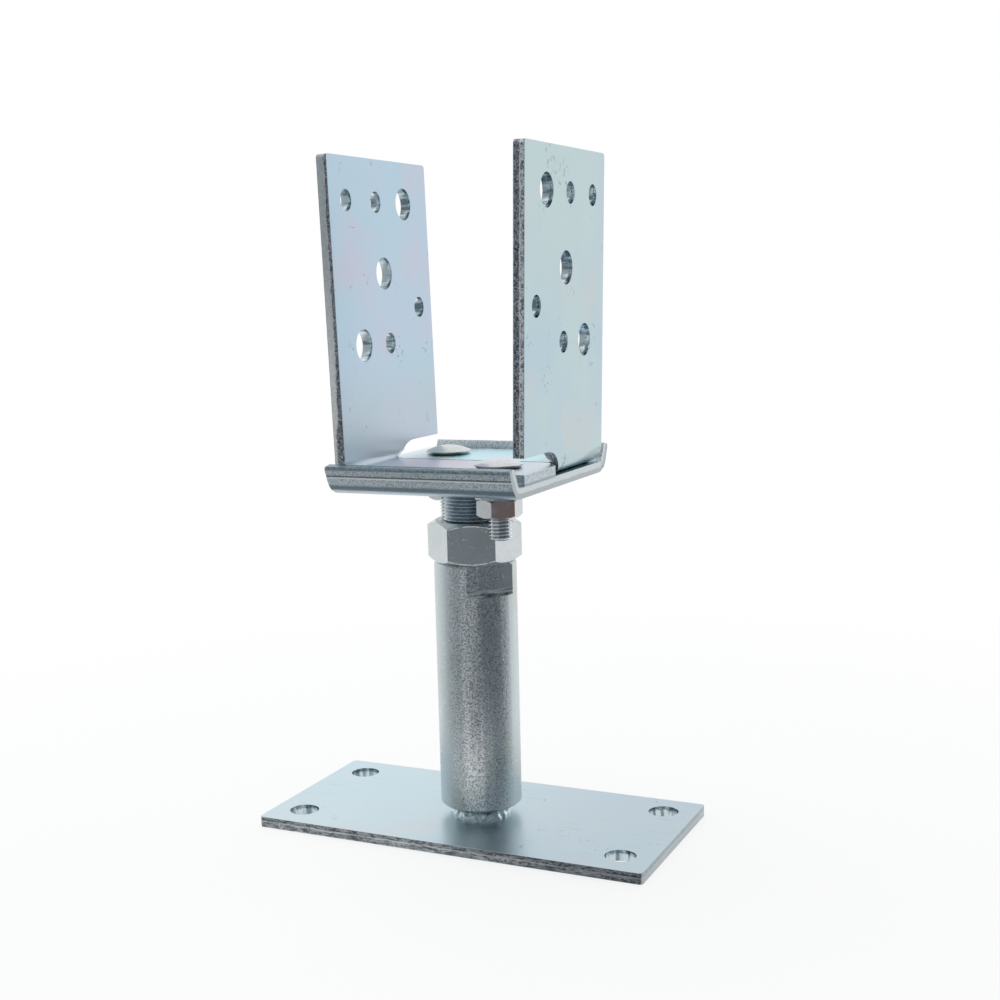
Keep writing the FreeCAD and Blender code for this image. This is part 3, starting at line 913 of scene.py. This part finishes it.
# %% The base plate
def plate_finish(name):
    """The base plate's finish. Its cut faces are those between its top and its underside."""
    material, place = start_material(name)
    x, y, z = split(place)
    colour, rough, height = rolled_face(
        place, rgb(0.63, 0.73, 0.77), rgb(0.61, 0.74, 0.79), rgb(0.66, 0.71, 0.73), 16, 1.0,
    )
    # Painted light and shade: the top is mixed lighter at the left and darker towards the right.
    painted_light_and_shade = tint(fade(x, -70 * MM, 70 * MM), rgb(1.05, 1.05, 1.05), rgb(0.84, 0.85, 0.87))
    face = (tint(1.0, colour, painted_light_and_shade, "MULTIPLY"), rough, height)
    mask, (cut_colour, cut_rough, cut_height) = cut_face(
        Vector=stretch(place, (0.35, 1, 1)), Depth=z / plate_high[2], Inner=rgb(0.5, 0.54, 0.56),
        Outer=rgb(0.62, 0.66, 0.67), Change=0.55, Coarse=0.9, Round_Outer=6.0,
    )
    rolled_lines = cloud(stretch(place, (0.03, 0.03, 1.0)), 1400, 2.0, 0.7)
    cut_colour = tint(fade(rolled_lines, 0.48, 0.58) * 0.45, cut_colour, DARK_ZINC_AND_SHADE)
    darker = tint(fade(x, -20 * MM, 66 * MM), rgb(0.8, 0.8, 0.8), rgb(0.42, 0.43, 0.45))
    faces_front = fade(y * -1.0, plate_high[1] - 0.6 * MM, plate_high[1] - 0.3 * MM)
    cut_colour = tint(faces_front, cut_colour, tint(1.0, cut_colour, darker, "MULTIPLY"))
    # Painted light: the cut face on the right-hand side is mixed lighter.
    right_side_painted_light = fade(x, plate_high[0] - 0.6 * MM, plate_high[0] - 0.3 * MM)
    cut_colour = tint(right_side_painted_light * 0.7, cut_colour, rgb(0.78, 0.83, 0.84))
    edge = (cut_colour, cut_rough, cut_height)
    in_x = fade(abs(x), plate_high[0] - 2 * MM, plate_high[0] - 3 * MM)
    in_y = fade(abs(y), plate_high[1] - 2 * MM, plate_high[1] - 3 * MM)
    wall = lay_over(in_x * in_y, edge, hole_wall(place, (6, 6, 1)))
    finish_metal(*lay_over(mask, face, wall))
    return material


plate_material = plate_finish("plate_zinc")

# %% [markdown]
# ## Turned and rolled zinc: sleeve, nuts, bolts and thread
#
# Bar stock is drawn and turned, which leaves a fine even grain instead of a flat rolled face. Under
# plating the grain sparkles where the light grazes it, and on the sleeve that sparkle is painted as
# white glints in the colour. The grain is coarse on two sides of the bar, and a narrow band is a
# painted highlight, so two masks choose by the direction in which the surface lies from the axis.

# %% A helper for turned pieces
# (degrees from +X, waves per metre and strength of the border's noise, where the band starts and is full)
GRAIN_BAND = (-62.0, 90, 0.12, 0.66, 0.92)
PAINTED_HIGHLIGHT_BAND = (-73.0, 120, 0.02, 0.965, 0.995)


def side_band(place, degrees, waves, wander, start, end):
    """A mask of the bar's side in one direction and of the side opposite, with a wandering border."""
    x, y, z = split(place)
    share = abs(along_direction(x, y, degrees)) / length_of(x, y)
    return fade(share + cloud(place, waves, 3.0) * wander, start, end)


def turned_finish(
    name, base, dark, grain_scale, grain, roughness, marks=1.0, sparkle=0.0, extra=None, painted_edge_highlight=None,
):
    """A grainy plated finish of dark specks. With sparkle it also gets white glints and a bright band,
    both painted highlights. Extra adds a piece's own marks, stain or painted shade, and a painted edge
    highlight goes over the rest.
    """
    material, place = start_material(name)
    bloom = use_group(bloom_group, Vector=place, Patches=35, Base=base, Cool=base, Warm=ZINC_STRAW)
    wear = use_group(marks_group, Vector=place, Amount=marks)
    coarse = cloud(place, grain_scale, 4.0, 0.75)
    fine = cloud(place, 1.9 * grain_scale, 2.0, 0.8)
    banded = side_band(place, *GRAIN_BAND) if sparkle else 1.0
    specks = fade(coarse, 0.46, 0.58) * (banded * (0.5 + sparkle))
    colour = tint(specks, bloom["Color"], dark)
    # Painted highlights: the glints are white specks where the grain would sparkle in the light.
    glints = fade(fine, 0.54, 0.62) * (banded * (1.8 * sparkle))
    colour = tint(glints, colour, rgb(0.95, 0.97, 1.0))
    # A painted highlight: a narrow band of the bar, in one direction and the opposite one, is mixed towards
    # white.
    if sparkle:
        lit = side_band(place, *PAINTED_HIGHLIGHT_BAND) * fade(coarse, 0.56, 0.42)
        colour = tint(lit * 0.9, colour, rgb(1.0, 1.0, 1.0))
    colour = tint(wear["Nicks"] * 0.6, colour, DARK_ZINC_AND_SHADE)
    scratches = calc("MAXIMUM", wear["Hairlines"], wear["Scuffs"])
    colour = tint(scratches * 0.6, colour, rgb(0.98, 0.99, 1.0))
    if extra:
        colour = extra(place, colour)
    height = coarse * grain + fine * (0.6 * grain) - scratches * 0.6
    rough = roughness + bloom["Cloud"] * 0.08
    metal = 1.0
    # Painted highlight: a bright, less metallic line laid over the colour at the lock nut's chamfer edges.
    if painted_edge_highlight:
        edge_highlight = painted_edge_highlight(place)
        colour = tint(edge_highlight, colour, rgb(0.9, 0.92, 0.93))
        metal = 1.0 - edge_highlight * 0.9
    finish_metal(colour, rough, height, metal)
    return material


# %% [markdown]
# Some pieces have marks of their own. The cutter that milled the sleeve's spanner flats left a step
# with bright lines at their lower end, and the side of one bolt nut is stained brown by the bath.
# Other marks are painted light and shade: the lock nut gets a painted highlight where its sides
# meet the chamfers, and a thread gets painted shade down in its roots, where little light gets in.

# %% Painted shade in the threads, marks on the sleeve's flats and the stained nut, and the lock nut's painted highlight
FLAT_DIRECTION = -40.0
FLAT_HEIGHT = 11.5 * MM
FLAT_DISTANCE = 12.0 * MM
NUT_STAIN_DIRECTION = -56.0
NUT_STAIN_FROM = (6.75 * MM, 6.9 * MM)
NUT_FACE_RADIUS = 14.0 * MM
NUT_CHAMFER = 30.0
flat_low = sleeve_high[2] - FLAT_HEIGHT


def thread_shade(centre_x, centre_y, radius):
    """Darkens a thread's roots with painted shade. Both bolts lie at the same distances from the two middle
    planes.
    """
    def shade(place, colour):
        x, y, z = split(place)
        out = length_of(abs(x) - centre_x, abs(y) - centre_y)
        painted_root_shade = fade(out, radius - 0.25 * THREAD_DEPTH, radius - 0.85 * THREAD_DEPTH)
        return tint(painted_root_shade * 0.6, colour, DARK_ZINC_AND_SHADE)
    return shade


def flat_marks(place, colour):
    """Bright and dark streaks on the step at the lower end of each spanner flat."""
    x, y, z = split(place)
    out = abs(along_direction(x, y, FLAT_DIRECTION))
    inside = fade(out, FLAT_DISTANCE + 0.3 * MM, FLAT_DISTANCE + 0.12 * MM)
    outside = fade(out, FLAT_DISTANCE - 0.2 * MM, FLAT_DISTANCE - 0.1 * MM)
    below = fade(z, flat_low + 3.0 * MM, flat_low + 1.6 * MM)
    above = fade(z, flat_low - 0.4 * MM, flat_low - 0.2 * MM)
    step = inside * outside * below * above
    lines = cloud(stretch(place, (0.12, 0.12, 1.0)), 1300, 2.0, 0.7)
    bright = step * fade(lines, 0.47, 0.56)
    shaded = step * fade(lines, 0.44, 0.36)
    colour = tint(bright * 0.9, colour, rgb(0.98, 0.99, 0.93))
    return tint(shaded * 0.8, colour, DARK_ZINC_AND_SHADE)


def nut_stain(place, colour):
    """A brown stain on one side of the front nut."""
    x, y, z = split(place)
    low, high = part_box("bolt_nut_front")
    beside_x = x - (low[0] + high[0]) / 2
    beside_y = y - (low[1] + high[1]) / 2
    out = along_direction(beside_x, beside_y, NUT_STAIN_DIRECTION)
    stained = fade(out, *NUT_STAIN_FROM) * fade(cloud(place, 260, 3.0), 0.25, 0.55)
    return tint(stained * 0.75, colour, rgb(0.66, 0.41, 0.33))


def nut_edge_highlight(place):
    """A mask of the painted highlight: a thin bright line where each side of the lock nut meets its two
    chamfers.
    """
    x, y, z = split(place)
    cone = (length_of(x, y) - NUT_FACE_RADIUS) * math.tan(math.radians(NUT_CHAMFER))
    breaks = fade(cloud(place, 500, 3.0), 0.3, 0.5)
    edge_highlight = 0.0
    for room in (lock_nut_high[2] - z, z - lock_nut_low[2]):
        from_edge = room - cone
        line = fade(from_edge, 0.46 * MM, 0.3 * MM) * fade(from_edge, 0.0, 0.05 * MM)
        edge_highlight = calc("MAXIMUM", edge_highlight, line)
    return edge_highlight * breaks


# %% The finishes of the turned and headed pieces
sleeve_material = turned_finish(
    "turned_zinc", rgb(0.64, 0.69, 0.70), rgb(0.27, 0.285, 0.295), 1550, 2.2, 0.20,
    sparkle=0.42, extra=flat_marks,
)
nut_material = turned_finish(
    "lock_nut_zinc", rgb(0.70, 0.72, 0.72), rgb(0.62, 0.65, 0.67), 500, 0.4, 0.20,
    marks=2.0, painted_edge_highlight=nut_edge_highlight,
)
small_nut_material = turned_finish(
    "small_nut_zinc", rgb(0.68, 0.69, 0.70), rgb(0.60, 0.60, 0.60), 500, 0.4, 0.20, extra=nut_stain,
)
bolt_material = turned_finish("bolt_zinc", rgb(0.76, 0.75, 0.75), rgb(0.66, 0.66, 0.66), 400, 0.12, 0.20)
bolt_low, bolt_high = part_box("bolt_front")
BOLT_FROM_MIDDLE_X = abs(bolt_low[0] + bolt_high[0]) / 2
BOLT_FROM_MIDDLE_Y = abs(bolt_low[1] + bolt_high[1]) / 2
bolt_thread_material = turned_finish(
    "bolt_thread_zinc", rgb(0.98, 0.99, 1.0), rgb(0.80, 0.84, 0.86), 700, 0.1, 0.07,
    extra=thread_shade(BOLT_FROM_MIDDLE_X, BOLT_FROM_MIDDLE_Y, BOLT_RADIUS),
)
washer_material = turned_finish("washer_zinc", rgb(0.60, 0.63, 0.65), rgb(0.35, 0.38, 0.40), 900, 0.6, 0.28)
thread_material = turned_finish(
    "thread_zinc", rgb(0.60, 0.69, 0.75), rgb(0.24, 0.30, 0.34), 900, 0.3, 0.16,
    extra=thread_shade(0.0, 0.0, rod_radius),
)
weld_material = turned_finish(
    "weld_zinc", rgb(0.80, 0.87, 0.89), rgb(0.36, 0.50, 0.56), 420, 1.8, 0.14,
)

# %% Give every piece its finish
FINISH_OF = {
    "base_plate": plate_material,
    "sleeve": sleeve_material,
    "rod_weld": weld_material,
    "lock_nut": nut_material,
    "tray": tray_material,
    "bracket_left": left_finish,
    "bracket_right": right_finish,
    "washer_front": washer_material,
    "washer_rear": washer_material,
    "bolt_nut_front": small_nut_material,
    "bolt_nut_rear": small_nut_material,
}
ADDED_PIECES = (
    (front_bolt[:2] + rear_bolt[:2], bolt_material),
    (front_bolt[2:] + rear_bolt[2:], bolt_thread_material),
    ([rod_thread], thread_material),
    (lips, tray_material),
    ([right_web], right_finish),
    ([left_web], left_finish),
    ([weld_bead], weld_material),
)
for node_name, material in FINISH_OF.items():
    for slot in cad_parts[node_name].material_slots:
        slot.material = material
added = 0
for pieces, material in ADDED_PIECES:
    for piece in pieces:
        piece.data.materials.append(material)
        added += 1
print("dressed", len(FINISH_OF), "nodes and", added, "added pieces")

# %% [markdown]
# ## The studio
#
# A shiny part shows its surroundings more than its own colour. It stands in a white room that is
# dim towards the front and dark to the right of it: faces turned that way go dark, and faces turned
# away stay bright. The lamp gives the floor its shadow but isn't mirrored in the metal, where it
# would burn a white spot into every rounded edge.

# %% The sides of the studio, as a group
LIGHT_SIDE = rgb(0.92, 0.95, 0.97)
DIM_SIDE = rgb(0.36, 0.39, 0.41)
DARK_SIDE = rgb(0.17, 0.19, 0.215)
DIM_TOWARDS = 10.0
DARK_TOWARDS = 60.0

sides_group, result, (across, along) = start_group(
    "studio sides", {"Across": "value", "Along": "value"}, {"Color": "colour"},
)
length = length_of(across, along)


def share_towards(degrees):
    """How well a direction agrees with one at this many degrees from the front, towards the right."""
    return along_direction(across, along, degrees - 90) / (length + 0.0001)


room = tint(fade(share_towards(DIM_TOWARDS), -0.6, 0.6), LIGHT_SIDE, DIM_SIDE)
room = tint(fade(share_towards(DARK_TOWARDS), 0.45, 0.8), room, DARK_SIDE)
end_group(sides_group, result, Color=room)

# %% The floor
PAPER_WHITE_FROM = 0.16
PAPER_WHITE_BY = 0.45
PAPER_SEEN = 0.80
FLOOR_HALF = 3.0
FLOOR_BELOW = 0.05 * MM


def mix_shaders(amount, first, second):
    """Two shaders mixed."""
    return add_node("ShaderNodeMixShader", {0: amount, 1: first, 2: second})


def make_floor():
    """A wide pale floor: white far away, with a shadow under the part, and the studio in reflections."""
    half = FLOOR_HALF
    mesh = bpy.data.meshes.new("floor")
    corners = [(-half, -half, 0), (half, -half, 0), (half, half, 0), (-half, half, 0)]
    mesh.from_pydata(corners, [], [(0, 1, 2, 3)])
    floor = bpy.data.objects.new("floor", mesh)
    bpy.context.scene.collection.objects.link(floor)
    floor.location.z = -FLOOR_BELOW
    material, place = start_material("floor paper")
    x, y, z = split(place)
    away = length_of(x, y)
    paper = add_node("ShaderNodeBsdfDiffuse", {"Color": rgb(0.92, 0.92, 0.92)}, tree=place.tree)
    glow = add_node("ShaderNodeEmission", {"Color": rgb(1.0, 1.0, 1.0)}, tree=place.tree)
    sides = use_group(sides_group, Across=x, Along=y)["Color"]
    near_part = tint(fade(away, 0.13, 0.06), sides, rgb(0.75, 0.77, 0.78))
    mirrored = add_node("ShaderNodeEmission", {"Color": near_part})
    ray = all_outputs(add_node("ShaderNodeLightPath", {}, tree=place.tree))
    whiteness = PAPER_SEEN + fade(away, PAPER_WHITE_FROM, PAPER_WHITE_BY) * (1.0 - PAPER_SEEN)
    seen = mix_shaders(ray["Is Camera Ray"] * whiteness, paper, glow)
    end_nodes("ShaderNodeOutputMaterial", mix_shaders(ray["Is Glossy Ray"], seen, mirrored))
    mesh.materials.append(material)


make_floor()

# %% The room's light
def light_room():
    """A white room that is dark towards the front. The camera itself sees plain white."""
    world = bpy.data.worlds.new("studio")
    bpy.context.scene.world = world
    world.use_nodes = True
    tree = world.node_tree
    tree.nodes.clear()
    x, y, z = split(add_node("ShaderNodeTexCoord", {}, "Generated", tree))
    sides = use_group(sides_group, Across=x, Along=y)["Color"]
    room = tint(fade(z, 0.55, 0.85), sides, rgb(0.85, 0.87, 0.88))
    lit = add_node("ShaderNodeBackground", {"Color": room, "Strength": 1.0})
    white = add_node("ShaderNodeBackground", {"Color": rgb(1.0, 1.0, 1.0)}, tree=tree)
    ray = all_outputs(add_node("ShaderNodeLightPath", {}, tree=tree))
    direct = calc("MAXIMUM", ray["Is Camera Ray"], ray["Is Transmission Ray"])
    end_nodes("ShaderNodeOutputWorld", mix_shaders(direct, lit, white))


light_room()


def soft_lamp(name, place, target, size, power):
    """A square lamp that points at a target."""
    data = bpy.data.lights.new(name, "AREA")
    data.shape = "SQUARE"
    data.size = size
    data.energy = power
    lamp = bpy.data.objects.new(name, data)
    bpy.context.scene.collection.objects.link(lamp)
    lamp.location = place
    lamp.visible_glossy = False
    lamp.rotation_euler = (Vector(target) - Vector(place)).to_track_quat("-Z", "Y").to_euler()


soft_lamp("overhead lamp", (-0.25, 0.15, 0.95), (0, 0, 0.1), 0.7, 3.0)

# %% [markdown]
# ## The camera
#
# The camera looks at the part from a little to the right of its front and slightly from above. It
# is placed by the point it aims at, its two angles, its roll and its distance.

# %% Place the camera
CAMERA_AZIMUTH = 26.15
CAMERA_ELEVATION = 9.66
CAMERA_ROLL = -1.67
CAMERA_DISTANCE = 540.8 * MM
CAMERA_AIM_HEIGHT = 105.5 * MM
CAMERA_AIM_ASIDE = -6.68 * MM
CAMERA_FOCAL = 1.49374
CAMERA_SHIFT = (0.0437, 0.0431)


def place_camera():
    """The camera, from its aim, angles, roll and distance."""
    azimuth = math.radians(CAMERA_AZIMUTH)
    elevation = math.radians(CAMERA_ELEVATION)
    back = Vector((
        math.sin(azimuth) * math.cos(elevation),
        -math.cos(azimuth) * math.cos(elevation),
        math.sin(elevation),
    ))
    right = Vector((math.cos(azimuth), math.sin(azimuth), 0.0))
    up = back.cross(right)
    roll = math.radians(CAMERA_ROLL)
    turned_right = math.cos(roll) * right + math.sin(roll) * up
    turned_up = -math.sin(roll) * right + math.cos(roll) * up
    place = Vector((0, 0, CAMERA_AIM_HEIGHT)) + right * CAMERA_AIM_ASIDE + back * CAMERA_DISTANCE
    data = bpy.data.cameras.new("camera")
    data.sensor_width = 36.0
    data.lens = CAMERA_FOCAL * data.sensor_width
    data.shift_x, data.shift_y = CAMERA_SHIFT
    data.clip_start = 0.01
    camera = bpy.data.objects.new("camera", data)
    bpy.context.scene.collection.objects.link(camera)
    turned = Matrix((turned_right, turned_up, back)).transposed().to_4x4()
    camera.matrix_world = Matrix.Translation(place) @ turned
    bpy.context.scene.camera = camera
    print("camera at", [round(value, 3) for value in place], "lens", round(data.lens, 1))


place_camera()
bpy.context.scene.view_settings.view_transform = "Standard"
